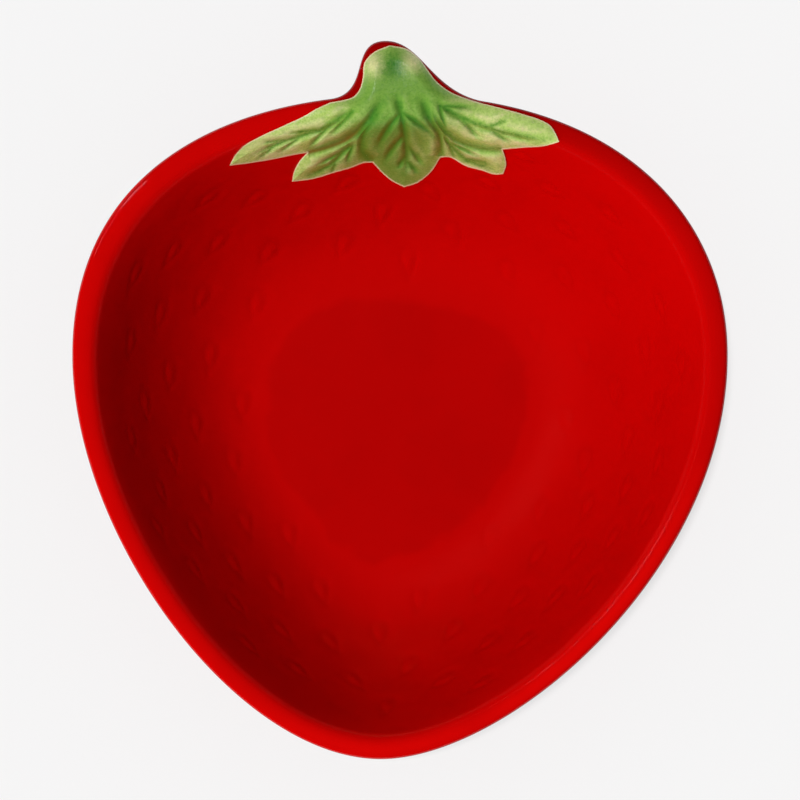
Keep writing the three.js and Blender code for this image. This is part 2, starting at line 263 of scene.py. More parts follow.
# Lamps: setting of the level, what is lit, kind, spread, azimuth, elevation, distance in metres, gloss or not
LAMPS = {
    "top": ("top", "all", "AREA", 0.6, 160, 75, 1.2, False),
    "key": ("key", "all", "AREA", 0.6, 205, 60, 1.2, False),
    "side": ("side", "all", "AREA", 0.6, 205, 15, 1.2, False),
    "front": ("front", "all", "AREA", 0.6, 255, 15, 1.2, False),
    "glint": ("glint", "red", "AREA", 0.03, 144, 64, 1.0, True),
    "leaf_gloss": ("leaf_glint", "leaves", "AREA", 0.15, 130, 72, 1.0, True),
    "right_fill": ("fill", "all", "AREA", 0.15, -15, 2, 1.2, False),
    "back_fill": ("fill", "all", "AREA", 0.15, 80, 2, 1.2, False),
    "floor_light": ("floor_light", "floor", "SUN", 3, 145, 85.8, 1.0, False),
    "floor_soft": ("floor_soft", "floor", "SUN", 110, 0, 90, 1.0, False),
}


def length(name, description, millimetres):
    """A setting that is a length, given here in millimetres and kept in metres."""
    metres = millimetres * MM
    return FloatProperty(name=name, description=description, default=metres, unit="LENGTH", precision=5)


def share(name, description, default):
    """A setting that is a share from 0 to 1."""
    return FloatProperty(name=name, description=description, default=default, min=0, max=1, subtype="FACTOR")


def colour(name, description, default):
    """A setting that is a linear colour."""
    return FloatVectorProperty(
        name=name, description=description, default=default, size=3, min=0, max=1, subtype="COLOR"
    )


def power(name, description, default):
    """A setting that is a lamp's power in watts."""
    return FloatProperty(name=name, description=description, default=default, min=0, unit="POWER")


def sun_level(name, description, default):
    """A setting that is the strength of a lamp as far away as the sun."""
    return FloatProperty(name=name, description=description, default=default, min=0)


class BowlShape(bpy.types.PropertyGroup):
    """Section of the bowl, measured across the shoulders."""

    wall: length("Wall", "Thickness of the wall", 5)
    lip_outer: length("Lip's outer corner", "Radius of the lip's outer corner", 1.1)
    lip_crest: length("Lip's crest", "Radius of the lip's nearly flat top", 9)
    lip_inner: length("Lip's inner corner", "Radius of the lip's inner corner", 2.8)
    floor_radius: length("Floor radius", "Radius of the flat floor", FOOT_RADIUS)
    floor_sweep: length("Floor sweep", "How far the floor's curve runs out before it climbs", 20)
    wall_sweep: length("Wall sweep", "How far the wall runs on down from the lip", 18)
    wall_slope: FloatProperty(
        name="Wall slope",
        description="Steepness of the wall at the lip",
        default=math.radians(64),
        subtype="ANGLE",
        unit="ROTATION",
    )
    foot_width: length("Foot width", "Width of the ring that the bowl stands on", 5)
    foot_round: length("Foot round", "Rounding of the foot ring's edges", 1)


class SeedShape(bpy.types.PropertyGroup):
    """Seeds pressed into the wall."""

    seed_length: length("Length", "Length of one seed, from its round end to its point", 6.2)
    seed_width: length("Width", "Width of one seed", 3.3)
    spacing: length("Spacing", "Side of the square of wall that one seed takes", 12.6)
    groove: length("Groove", "Depth of the groove round a seed", 0.17)
    swell: length("Swell", "How far a seed's middle stands out of the groove", 0.12)


class CalyxShape(bpy.types.PropertyGroup):
    """Heights of the stem and leaves over the bowl."""

    stem_rise: length("Stem rise", "Height of the stem over the lug", STEM_HIGH[2] - RIM_HEIGHT - STEM_SETTLE)
    crown_rise: length("Crown rise", "Height of the relief where the leaves leave the stem", 2.4)
    leaf_rise: length("Leaf rise", "Height of a leaf over the wall", 1.1)
    edge_rise: length("Edge rise", "Height of a free edge", 0.25)
    edge_round: length("Edge round", "Width in which a free edge comes down", 3.2)
    skin_round: length("Skin round", "Width in which the relief bends over the lip", 3.2)
    midrib_depth: length("Midrib depth", "Depth of the groove along a leaf's middle", 0.65)
    vein_depth: length("Vein depth", "Depth of a side vein", 0.5)
    ridge_rise: length("Ridge rise", "Height of the ridges beside a vein", 0.15)
    crease_depth: length("Crease depth", "Depth of the line between two leaves", 0.8)
    dimple_depth: length("Dimple depth", "Depth of the hollow at the stem's end", 0.3)


class GlazeColours(bpy.types.PropertyGroup):
    """Colours of the glazes and the clay."""

    red: colour("Red", "Glaze on the wall and floor", (0.5, 0.0003, 0.0003))
    # Deep red: glaze in the seed grooves and on the floor, and painted shade beside the stem and on the upper
    # right of the lip
    deep_and_shaded_red: colour("Deep red", "Glaze where it pools in a groove or by the stem", (0.3, 0.0002, 0.0002))
    lip_red: colour("Lip red", "Thin glaze on the lip", (0.54, 0.0006, 0.0005))
    # Painted light: a lighter red for the lip's right flank and round the tip
    painted_lit_red: colour("Thin red", "Thinnest glaze, on the lip near the tip", (0.74, 0.0015, 0.001))
    crown_green: colour("Crown green", "Glaze on the stem and the crown of the leaves", (0.14, 0.31, 0.035))
    fresh_green: colour("Fresh green", "Glaze on the right leaves", (0.26, 0.46, 0.06))
    warm_green: colour("Warm green", "Glaze on the left leaves", (0.27, 0.46, 0.045))
    # Pale green: thin glaze on the ridges and edges, with painted light on the shoulders and the left tip
    pale_green: colour("Pale green", "Thin glaze on the ridges", (0.53, 0.65, 0.2))
    # Olive: glaze on the middle leaves down the wall, which also carries painted shade there
    olive: colour("Olive", "Glaze where it has run down the wall", (0.025, 0.13, 0.008))
    # Vein green: glaze in the veins, and painted shade in the dimple
    vein_green: colour("Vein green", "Glaze pooled in the veins and the dimple", (0.035, 0.17, 0.015))
    brown: colour("Brown", "Glaze in the line between two leaves", (0.2, 0.08, 0.015))
    # Cream: thin glaze on the free edges, and painted highlights on the ridges and beside the dimple
    cream: colour("Cream", "Thin glaze on the free edges", (0.72, 0.6, 0.36))
    clay: colour("Clay", "Bare clay of the foot ring", (0.67, 0.54, 0.38))


class StudioLight(bpy.types.PropertyGroup):
    """Floor, lamps and camera."""

    top: power("Top", "Large soft lamp overhead", 5.4)
    key: power("Key", "Large soft lamp high on the left", 8.6)
    side: power("Side", "Large lamp low on the left", 4.8)
    front: power("Front", "Large lamp low by the tip", 3.4)
    glint: power("Glint", "Small lamp that draws the line on the lip", 0.1)
    leaf_glint: power("Leaf glint", "Lamp that draws the gloss on the leaves", 0.5)
    fill: power("Fill", "Lamps low on the right and behind, which reach only the outside", 3.4)
    floor_light: sun_level("Floor light", "Light that draws the shadow on the floor", 2.4)
    floor_soft: sun_level("Soft floor light", "Wide light that softens the shadow", 1.1)
    floor_grey: share("Floor grey", "Share of its light that the floor gives back", 0.225)
    ambient: share("Ambient", "Level of the world's light", 0.012)
    backdrop: share("Backdrop", "Level of the pale floor and backdrop as the camera sees them", 0.916)
    view_width: length("View width", "Width of the picture at the rim", 178)
    view_height: length("View height", "Height of the camera over the rim", 1400)


class BowlSettings(bpy.types.PropertyGroup):
    """All settings of the bowl."""

    shape: PointerProperty(type=BowlShape, name="Shape", description="Section of the bowl")
    seeds: PointerProperty(type=SeedShape, name="Seeds", description="Seeds in the wall")
    calyx: PointerProperty(type=CalyxShape, name="Calyx", description="Stem and leaves")
    glazes: PointerProperty(type=GlazeColours, name="Glazes", description="Colours")
    studio: PointerProperty(type=StudioLight, name="Studio", description="Floor, lamps and camera")


def cubic(start, first_pull, second_pull, end):
    """Points of a cubic Bezier curve: its four places weighted by (1-t)^3, 3t(1-t)^2, 3t^2(1-t) and t^3."""
    t = np.linspace(0, 1, FINE)[:, None]
    places = (np.asarray(place, float) for place in (start, first_pull, second_pull, end))
    weights = ((1 - t) ** 3, 3 * t * (1 - t) ** 2, 3 * t**2 * (1 - t), t**3)
    return sum(weight * place for weight, place in zip(weights, places))


def lengths_along(points):
    """Length along a polyline at each of its points."""
    return np.concatenate([[0.0], np.cumsum(np.linalg.norm(np.diff(points, axis=0), axis=1))])


def way(angle):
    """Unit vector at an angle: its cosine and sine."""
    return np.stack([np.cos(angle), np.sin(angle)], -1)


def unit(vectors):
    """Vectors brought to length 1."""
    return vectors / np.maximum(np.linalg.norm(vectors, axis=-1, keepdims=True), TINY)


def smooth_path(places):
    """A cubic Hermite curve through places.

    Its parameter is the chord length and its slopes are central differences.
    """
    knots = np.asarray(places, float)
    chord = lengths_along(knots)
    slope = np.gradient(knots, chord, axis=0)
    at = np.linspace(0, chord[-1], FINE)
    low = np.clip(np.searchsorted(chord, at, side="right") - 1, 0, len(chord) - 2)
    span = (chord[low + 1] - chord[low])[:, None]
    u = (at - chord[low])[:, None] / span
    ends = (1 + 2 * u) * (1 - u) ** 2 * knots[low] + u**2 * (3 - 2 * u) * knots[low + 1]
    return ends + span * (u * (1 - u) ** 2 * slope[low] - u**2 * (1 - u) * slope[low + 1])


def even(points, count, end=1):
    """Points at equal steps along a polyline, up to a share of its length."""
    place = lengths_along(points)
    wanted = np.linspace(0, end * place[-1], count)
    return np.column_stack([np.interp(wanted, place, column) for column in points.T])


def ease(low, high, value):
    """Smooth step: 3x^2 - 2x^3 of the value's share of the way from low to high, held at 0 and 1."""
    x = np.clip((value - low) / (high - low), 0, 1)
    return x * x * (3 - 2 * x)


def bell(distance, width):
    """Gaussian bell of height 1: e to the minus square of distance over width."""
    return np.exp(-((distance / width) ** 2))


def rim_curve():
    """The rim's outline from the tip, counter-clockwise: four cubic curves by the shoulders and crown."""
    tip = np.array([TIP_LEAN, TIP_Y])
    crown = np.array([CENTRE[0], CROWN_Y])
    right = np.array([HALF_WIDTH, CROWN_Y - SHOULDER_DROP])
    left = right * (-1, 1)
    return np.vstack(
        [
            cubic(tip, tip + (RIGHT_PULLS["tip"], 0), right - (0, RIGHT_PULLS["flank"]), right),
            cubic(right, right + (0, RIGHT_PULLS["shoulder"]), crown + (RIGHT_PULLS["crown"], 0), crown),
            cubic(crown, crown - (LEFT_PULLS["crown"], 0), left + (0, LEFT_PULLS["shoulder"]), left),
            cubic(left, left - (0, LEFT_PULLS["flank"]), tip - (LEFT_PULLS["tip"], 0), tip),
        ]
    )


def polar(points):
    """Angle and distance of plan points from the bowl's centre."""
    offset = points - CENTRE
    return np.arctan2(offset[..., 1], offset[..., 0]), np.hypot(offset[..., 0], offset[..., 1])


RIM = rim_curve()
RIM_ANGLES, RIM_RADII = polar(RIM)
RIM_ANGLES = np.unwrap(RIM_ANGLES)


def rim_radius(angle):
    """Distance from the centre to the rim's outline."""
    return np.interp(angle, RIM_ANGLES, RIM_RADII, period=TURN)


def rim_angle(along):
    """Angle at a distance along the rim from the stem, positive to the right."""
    return math.pi / 2 - along / CROWN_RADIUS


def rim_place(along):
    """Plan point on the rim at a distance along it from the stem."""
    angle = rim_angle(along)
    return CENTRE + rim_radius(angle) * way(angle)


NOSE = np.array([LUG_LEAN, NOSE_Y])


def lug_flank(side, sign):
    """A flank of the stem lug: a cubic curve from along the rim's line to level at the nose."""
    root = rim_place(sign * side["root"])
    ahead = rim_place(sign * (side["root"] - side["flare"])) - root
    flare = root + unit(ahead) * side["flare"]
    return cubic(root, flare, NOSE + (sign * side["nose"], 0), NOSE)


OUTLINE = np.vstack(
    [
        RIM[RIM_ANGLES < rim_angle(LUG_RIGHT["root"])],
        lug_flank(LUG_RIGHT, 1),
        lug_flank(LUG_LEFT, -1)[::-1],
        RIM[RIM_ANGLES > rim_angle(-LUG_LEFT["root"])],
    ]
)
OUTLINE_ANGLES, OUTLINE_RADII = polar(OUTLINE)
OUTLINE_ANGLES = np.unwrap(OUTLINE_ANGLES)


def lug_reach(angle):
    """How far the stem lug stands out past the rim."""
    full = np.interp(angle, OUTLINE_ANGLES, OUTLINE_RADII, period=TURN)
    return np.maximum(0, full - rim_radius(angle))


class Section:
    """Section of the wall: an inner line, the lip over it and an outer line one wall away.

    The lip is three arcs that run on into each other. Its crest turns just as far to both sides as leaves
    one wall between the two lines.
    """

    def __init__(self, shape, calyx):
        self.wall = shape.wall / MM
        self.slope = shape.wall_slope
        self.set_lip(shape.lip_outer / MM, shape.lip_crest / MM, shape.lip_inner / MM)
        self.floor_height = BASE_HEIGHT + self.wall
        self.floor_radius = shape.floor_radius / MM
        floor = np.array([self.floor_radius, self.floor_height])
        top = self.lip_point(np.array(self.slope + math.pi / 2))
        sweep = shape.wall_sweep / MM * way(self.slope)
        self.inner = cubic(floor, floor + (shape.floor_sweep / MM, 0), top - sweep, top)
        tangent = unit(np.gradient(self.inner, axis=0))
        self.outer = self.inner + self.wall * np.column_stack([tangent[:, 1], -tangent[:, 0]])
        over = self.lip_point(np.linspace(self.slope + math.pi / 2, 0, FINE))
        self.upper = np.vstack([self.inner, over[1:]])
        self.set_skin(calyx.skin_round / MM)

    def set_lip(self, outer, crest, inner):
        """Radii of the lip's arcs, its crest's turn to each side, and the middle of its crest's circle."""
        self.lip_radii = outer, crest, inner
        span = np.array([2 * crest - outer - inner, inner - outer])
        span *= (math.sin(self.slope), -math.cos(self.slope))
        gap = self.wall - outer - inner
        self.lip_turn = math.asin(gap / np.linalg.norm(span)) - math.atan2(span[1], span[0])
        self.crest = HALF_WIDTH - outer - (crest - outer) * math.sin(self.lip_turn)
        self.crest_centre = np.array([self.crest, RIM_HEIGHT - crest])

    def lip_point(self, angle):
        """Point of the lip where its normal has an angle: on the crest's arc, or on a corner's at its end."""
        outer, crest, inner = self.lip_radii
        joint = np.clip(angle, math.pi / 2 - self.lip_turn, math.pi / 2 + self.lip_turn)
        radius = np.where(angle < joint, outer, np.where(angle > joint, inner, crest))[..., None]
        return self.crest_centre + (crest - radius) * way(joint) + radius * way(angle)

    def set_skin(self, width):
        """The line that the calyx follows: the inner wall and a level lip, averaged under a bell."""
        step = 0.1
        run = np.arange(0, 2 * HALF_WIDTH, step)
        level = np.interp(np.minimum(run, self.crest), self.upper[:, 0], self.upper[:, 1])
        count = int(3 * width / step)
        weight = bell(np.arange(-count, count + 1) * step, width)
        smooth = np.convolve(np.pad(level, count, "edge"), weight / weight.sum(), "valid")
        self.skin = np.column_stack([run, smooth, np.gradient(smooth, step)])

    def rows(self):
        """Radius, height and share of the lug for each row from the base over the lip to the floor."""
        base = np.linspace(0, self.floor_radius, BASE_ROWS + 2)[1:-1]
        outer = even(self.outer, OUTER_ROWS)
        turns = np.linspace(self.slope - math.pi / 2, self.slope + math.pi / 2, FINE)
        lip = even(np.column_stack([self.lip_point(turns), turns]), LIP_ROWS + 1)[1:-1]
        inner = even(self.inner[::-1], INNER_ROWS)
        floor = np.linspace(self.floor_radius, 0, FLOOR_ROWS + 2)[1:-1]
        sheet = np.vstack(
            [
                np.column_stack([base, np.full(BASE_ROWS, BASE_HEIGHT)]),
                outer,
                lip[:, :2],
                inner,
                np.column_stack([floor, np.full(FLOOR_ROWS, self.floor_height)]),
            ]
        )
        edge = math.radians(LUG_TURN)
        shares = np.concatenate(
            [
                np.zeros(BASE_ROWS),
                ease(outer[-1, 1] - LUG_FADE, outer[-1, 1], outer[:, 1]),
                1 - ease(math.pi / 2 - edge, math.pi / 2 + edge, lip[:, 2]),
                np.zeros(INNER_ROWS + FLOOR_ROWS),
            ]
        )
        return sheet[:, 0], sheet[:, 1], shares

    def heights(self, plan):
        """Height of the bowl's upper surface, height of the calyx's line and the cosine of its slope.

        The surface is flat on the lug, else the section's own line, turned over at the edge.
        """
        angle, radius = polar(plan)
        across = radius * HALF_WIDTH / rim_radius(angle)
        on_lug = np.clip(across - lug_reach(angle), self.crest, HALF_WIDTH)
        under = np.where(across > self.crest, on_lug, across)
        surface = np.interp(under, self.upper[:, 0], self.upper[:, 1])
        skin, slope = (np.interp(across, self.skin[:, 0], self.skin[:, column]) for column in (1, 2))
        return surface, skin, 1 / np.sqrt(1 + slope**2)


def add_piece(name, points, blocks, masks=None, crease=None):
    """Smooth mesh object from points in millimetres and blocks of faces, each an array of corner indices.

    A mask is one number per point, kept as an attribute. Crease marks points whose joining edges stay sharp.
    """
    mesh = bpy.data.meshes.new(name)
    corners = np.concatenate([block.ravel() for block in blocks])
    counts = np.concatenate([np.full(len(block), block.shape[1]) for block in blocks])
    mesh.vertices.add(len(points))
    mesh.loops.add(len(corners))
    mesh.polygons.add(len(counts))
    mesh.vertices.foreach_set("co", (points * MM).astype(np.float32).ravel())
    mesh.loops.foreach_set("vertex_index", corners.astype(np.int32))
    mesh.polygons.foreach_set("loop_start", (np.cumsum(counts) - counts).astype(np.int32))
    mesh.polygons.foreach_set("use_smooth", np.ones(len(counts), bool))
    mesh.update(calc_edges=True)
    if mesh.validate():
        raise RuntimeError(f"{name} has a face that is not valid")
    for key, values in (masks or {}).items():
        mask = mesh.attributes.new(key, "FLOAT", "POINT")
        mask.data.foreach_set("value", np.asarray(values, np.float32).ravel())
    if crease is not None:
        ends = np.empty(2 * len(mesh.edges), np.int32)
        mesh.edges.foreach_get("vertices", ends)
        sharp = mesh.attributes.new("sharp_edge", "BOOLEAN", "EDGE")
        sharp.data.foreach_set("value", crease[ends.reshape(-1, 2)].all(axis=1))
    piece = bpy.data.objects.new(name, mesh)
    bpy.context.scene.collection.objects.link(piece)
    return piece


def ring_points(angle, distance, height):
    """Rows of points round the bowl's centre, each row at its height."""
    points = np.empty((*distance.shape, 3))
    points[..., :2] = CENTRE + way(angle) * distance[..., None]
    points[..., 2] = height[:, None]
    return points


def ring_faces(rows, columns):
    """Quads between neighbouring rows of a grid whose columns close on themselves."""
    here = np.arange(rows * columns).reshape(rows, columns)
    after = np.roll(here, -1, axis=1)
    return np.stack([here[:-1], after[:-1], after[1:], here[1:]], -1).reshape(-1, 4)


def sheet_faces(rows, columns, start=0):
    """Quads between neighbouring rows and columns of an open grid."""
    here = start + np.arange(rows * columns).reshape(rows, columns)
    return np.stack([here[:-1, :-1], here[:-1, 1:], here[1:, 1:], here[1:, :-1]], -1).reshape(-1, 4)


def fit(piece, node, material):
    """Lets a finished piece stand for its node on the frame's only body."""
    piece.data.materials.append(material)
    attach(piece, "root")
    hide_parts(node)


class Value:
    """A shader value. An expression on it adds Math nodes to its shader."""

    def __init__(self, shader, socket):
        self.shader = shader
        self.socket = socket

    def maths(self, operation, *terms):
        """A Math node on the terms."""
        return self.shader.node("ShaderNodeMath", {"operation": operation}, dict(enumerate(terms)))

    def __add__(self, other):
        return self.maths("ADD", self, other)

    def __sub__(self, other):
        return self.maths("SUBTRACT", self, other)

    def __rsub__(self, other):
        return self.maths("SUBTRACT", other, self)

    def __mul__(self, other):
        return self.maths("MULTIPLY", self, other)

    __radd__ = __add__
    __rmul__ = __mul__

    def rise(self, low, high):
        """Smooth step from 0 at low to 1 at high."""
        settings = {"interpolation_type": "SMOOTHSTEP"}
        return self.shader.node(
            "ShaderNodeMapRange", settings, {"Value": self, "From Min": low, "From Max": high}
        )


class Shader:
    """The nodes of a material or of the world."""

    def __init__(self, owner):
        owner.use_nodes = True
        self.owner = owner
        self.tree = owner.node_tree
        self.tree.nodes.clear()

    def node(self, kind, settings=None, inputs=None, output=0):
        """A node of a kind with its settings, its sockets' values or links, and the output that is wanted."""
        node = self.tree.nodes.new(kind)
        for key, value in (settings or {}).items():
            setattr(node, key, value)
        for key, value in (inputs or {}).items():
            if isinstance(value, Value):
                self.tree.links.new(value.socket, node.inputs[key])
            else:
                node.inputs[key].default_value = value
        return Value(self, node.outputs[output]) if node.outputs else None

    def place(self):
        """Place on the piece, in metres."""
        return self.node("ShaderNodeTexCoord", output="Object")

    def mask(self, name):
        """A mask that is stored on the mesh."""
        return self.node("ShaderNodeAttribute", {"attribute_name": name}, output="Fac")

    def noise(self, size, detail=2.0):
        """Cloudy noise whose blotches are about a size in millimetres."""
        inputs = {"Vector": self.place(), "Scale": 1 / (size * MM), "Detail": detail}
        return self.node("ShaderNodeTexNoise", None, inputs, "Fac")

    def mix(self, factor, first, second):
        """A colour between two."""
        tints = [tint if isinstance(tint, Value) else (*tint, 1.0) for tint in (first, second)]
        factor_socket, first_socket, second_socket, result = 0, 6, 7, 2
        return self.node(
            "ShaderNodeMix",
            {"data_type": "RGBA"},
            {factor_socket: factor, first_socket: tints[0], second_socket: tints[1]},
            result,
        )

    def seen(self):
        """1 for what the camera sees, also in gloss and through glass, and 0 for light on other things."""
        rays = ("Is Camera Ray", "Is Glossy Ray", "Is Transmission Ray")
        camera, gloss, glass = (self.node("ShaderNodeLightPath", output=ray) for ray in rays)
        return camera.maths("MAXIMUM", camera.maths("MAXIMUM", camera, gloss), glass)

    def bump(self, height):
        """Normal of a relief whose height is in millimetres."""
        return self.node("ShaderNodeBump", None, {"Strength": 1.0, "Distance": MM, "Height": height})

    def glazed(self, tint, roughness, normal, refraction=GLAZE_REFRACTION):
        """Ends a material with a glossy glazed surface."""
        inputs = {"Base Color": tint, "Roughness": roughness, "Normal": normal, "IOR": refraction}
        return self.finish(self.node("ShaderNodeBsdfPrincipled", None, inputs))

    def finish(self, surface, kind="ShaderNodeOutputMaterial"):
        """Ends the nodes with a surface."""
        self.node(kind, None, {"Surface": surface})
        return self.owner


def red_glaze(colours):
    """Red glaze: darker on the floor, deeper in the grooves round the seeds, with painted shade beside the
    stem and on the upper right of the lip, a little cloudy, thinner and brighter on the lip, with painted
    light on its right flank and round the tip, a painted reflection of the lamps on the curve round the
    floor, and glossier on the lip and outside."""
    glaze = Shader(bpy.data.materials.new("red_glaze"))
    seed = glaze.mask("seed")
    groove = seed.rise(*GROOVE_IN) * (1 - seed.rise(*GROOVE_OUT))
    middle = 1 - seed.rise(*SEED_MIDDLE)
    lip = glaze.mask("lip")
    cloud = glaze.noise(14)
    across = glaze.mask("across") + glaze.noise(22) * 0.16 + glaze.noise(5) * 0.05 - 0.105
    floor = 1 - across.rise(*FLOOR_EDGE)
    curve = (1 - floor) * (1 - across.rise(*CURVE_EDGE))
    # Deeper red in the grooves round the seeds and in cloudy blotches, and darker on the floor
    deep = groove * 0.1 + cloud.rise(0.45, 0.75) * 0.1 + floor * 0.11
    tint = glaze.mix(deep, colours.red, colours.deep_and_shaded_red)
    # Painted light on the lip's right flank and round the tip
    thin = glaze.mix(glaze.mask("worn"), colours.lip_red, colours.painted_lit_red)
    # The curve round the floor is lightened as a painted reflection of the lamps; the lip and the seeds'
    # middles are lighter as thinner glaze
    tint = glaze.mix(lip + middle * 0.1 + curve * 0.75, tint, thin)
    # Painted shade beside the stem and on the upper right of the lip
    tint = glaze.mix(glaze.mask("pooled"), tint, colours.deep_and_shaded_red)
    outside = glaze.mask("across").rise(*OUTSIDE_EDGE) * (1 - lip)
    roughness = 0.42 - lip * 0.36 - outside * 0.24 + cloud * 0.04
    height = glaze.noise(15) * 0.55 + glaze.noise(6) * 0.1 + glaze.noise(1.4) * 0.006
    return glaze.glazed(tint, roughness, glaze.bump(height), RED_REFRACTION)


def bare_clay(colours):
    """Bare clay with fine grains, and red glaze above a wavering line where the glaze was wiped off."""
    glaze = Shader(bpy.data.materials.new("bare_clay"))
    grain = glaze.noise(0.7, 4)
    stain = glaze.noise(6)
    height = glaze.node("ShaderNodeSeparateXYZ", None, {"Vector": glaze.place()}, "Z")
    line = (height * (1 / MM) + stain * 1.1).rise(*GLAZE_LINE)
    dirt = grain.rise(0.4, 0.8) * 0.35 + stain.rise(0.5, 0.8) * 0.2
    tint = glaze.mix(dirt, colours.clay, colours.brown)
    tint = glaze.mix(line, tint, colours.red)
    return glaze.glazed(tint, 0.75 - line * 0.5, glaze.bump(grain * 0.05 * (1 - line)))


def leaf_glaze(colours):
    """Green glaze: greener at the crown, warmer on the left, olive with painted shade down the wall, pale on
    the ridges, shoulders and edges as thin glaze and painted light, with painted highlights in cream on the
    ridges and beside the dimple, dark in the veins, with painted shade in the dimple, brown in a crease and
    cream on the free edges, with a fine grain."""
    glaze = Shader(bpy.data.materials.new("leaf_glaze"))
    cloud = glaze.noise(4)
    speck = glaze.noise(0.9, 3)
    grain = glaze.noise(0.45, 2)
    tint = glaze.mix(glaze.mask("warm"), colours.fresh_green, colours.warm_green)
    tint = glaze.mix(glaze.mask("reach"), colours.crown_green, tint)
    # Olive glaze with painted shade where the middle leaves run down the wall
    tint = glaze.mix(glaze.mask("depth") + cloud.rise(0.5, 0.8) * 0.2, tint, colours.olive)
    # Pale thin glaze on the ridges and edges, with painted light on the shoulders and the left tip
    tint = glaze.mix(glaze.mask("thin") * (0.1 + cloud * 0.8 + grain * 0.7), tint, colours.pale_green)
    # Dark glaze in the veins, and painted shade in the dimple
    dark = glaze.mask("vein") * 0.85 + speck.rise(0.48, 0.75) * 0.35 + (1 - grain.rise(0.3, 0.5)) * 0.25
    tint = glaze.mix(dark, tint, colours.vein_green)
    tint = glaze.mix(glaze.mask("joint") * 0.7, tint, colours.brown)
    # Painted highlights in cream on the spots beside the dimple and on the ridges
    bare = glaze.mask("bare") * cloud.rise(0.3, 0.6) + glaze.mask("thin") * grain.rise(0.52, 0.72) * 0.3
    rubbed = 1 - (glaze.mask("edge") - grain * 0.3).rise(-0.05, 0.25)
    tint = glaze.mix(bare + rubbed * 0.85, tint, colours.cream)
    height = grain * 0.02 + speck * 0.035 + cloud * 0.1
    return glaze.glazed(tint, 0.2 + speck * 0.1, glaze.bump(height))


def seed_list(line, normals_sign, shape, low, high, phase):
    """Seeds on a golden-angle spiral: each takes the same area of the wall between two heights of a line.

    A seed has a centre, a direction along it, one across it and the wall's normal. It points from the stem to
    the tip, along the field of a source at the crown and a sink at the tip.
    """
    place = lengths_along(line)
    ring_length = TURN * line[:, 0] * RIM_RADII.mean() / HALF_WIDTH
    area = np.concatenate([[0], np.cumsum((ring_length[1:] + ring_length[:-1]) / 2 * np.diff(place))])
    first, last = np.interp((low, high), line[:, 1], area)
    cell = (shape.spacing / MM) ** 2
    numbers = np.arange(int((last - first) / cell))
    at = np.interp(first + (numbers + 0.5) * cell, area, place)
    radius, height = (np.interp(at, place, column) for column in line.T)
    slope = np.column_stack([np.interp(at, place, np.gradient(column, place)) for column in line.T])
    angle = numbers * GOLDEN_ANGLE + phase
    out = np.column_stack([way(angle), np.zeros(len(angle))])
    plan = CENTRE + out[:, :2] * (rim_radius(angle) * radius / HALF_WIDTH)[:, None]
    normal = normals_sign * (slope[:, :1] * (0, 0, 1) - slope[:, 1:] * out)
    from_stem = plan - (CENTRE[0], CROWN_Y)
    to_tip = np.array([TIP_LEAN, TIP_Y]) - plan
    flow = from_stem / (from_stem**2).sum(1)[:, None] + to_tip / (to_tip**2).sum(1)[:, None]
    along = np.column_stack([flow, np.zeros(len(flow))])
    along = unit(along - (along * normal).sum(1)[:, None] * normal)
    centre = np.column_stack([plan, height])
    return zip(centre, along, np.cross(normal, along), normal)


def seed_distance(points, seeds, shape):
    """Distance to the nearest seed: 0 at its middle and 1 on its outline, a drop with its point ahead."""
    half_length = shape.seed_length / MM / 2
    half_width = shape.seed_width / MM / 2
    nearest = np.full(points.shape[:-1], SEED_FAR)
    for centre, along, across, normal in seeds:
        offset = points - centre
        run = offset @ along / half_length
        side = offset @ across / half_width / (1 - SEED_TAPER * np.clip(run, -1, 1))
        lift = offset @ normal / half_length
        nearest = np.minimum(nearest, np.sqrt(run**2 + side**2 + lift**2))
    return nearest


def grid_normals(points):
    """Unit normals of a grid whose columns close: across each row times along the column."""
    across = np.roll(points, -1, axis=1) - np.roll(points, 1, axis=1)
    return unit(np.cross(across, np.gradient(points, axis=0)))


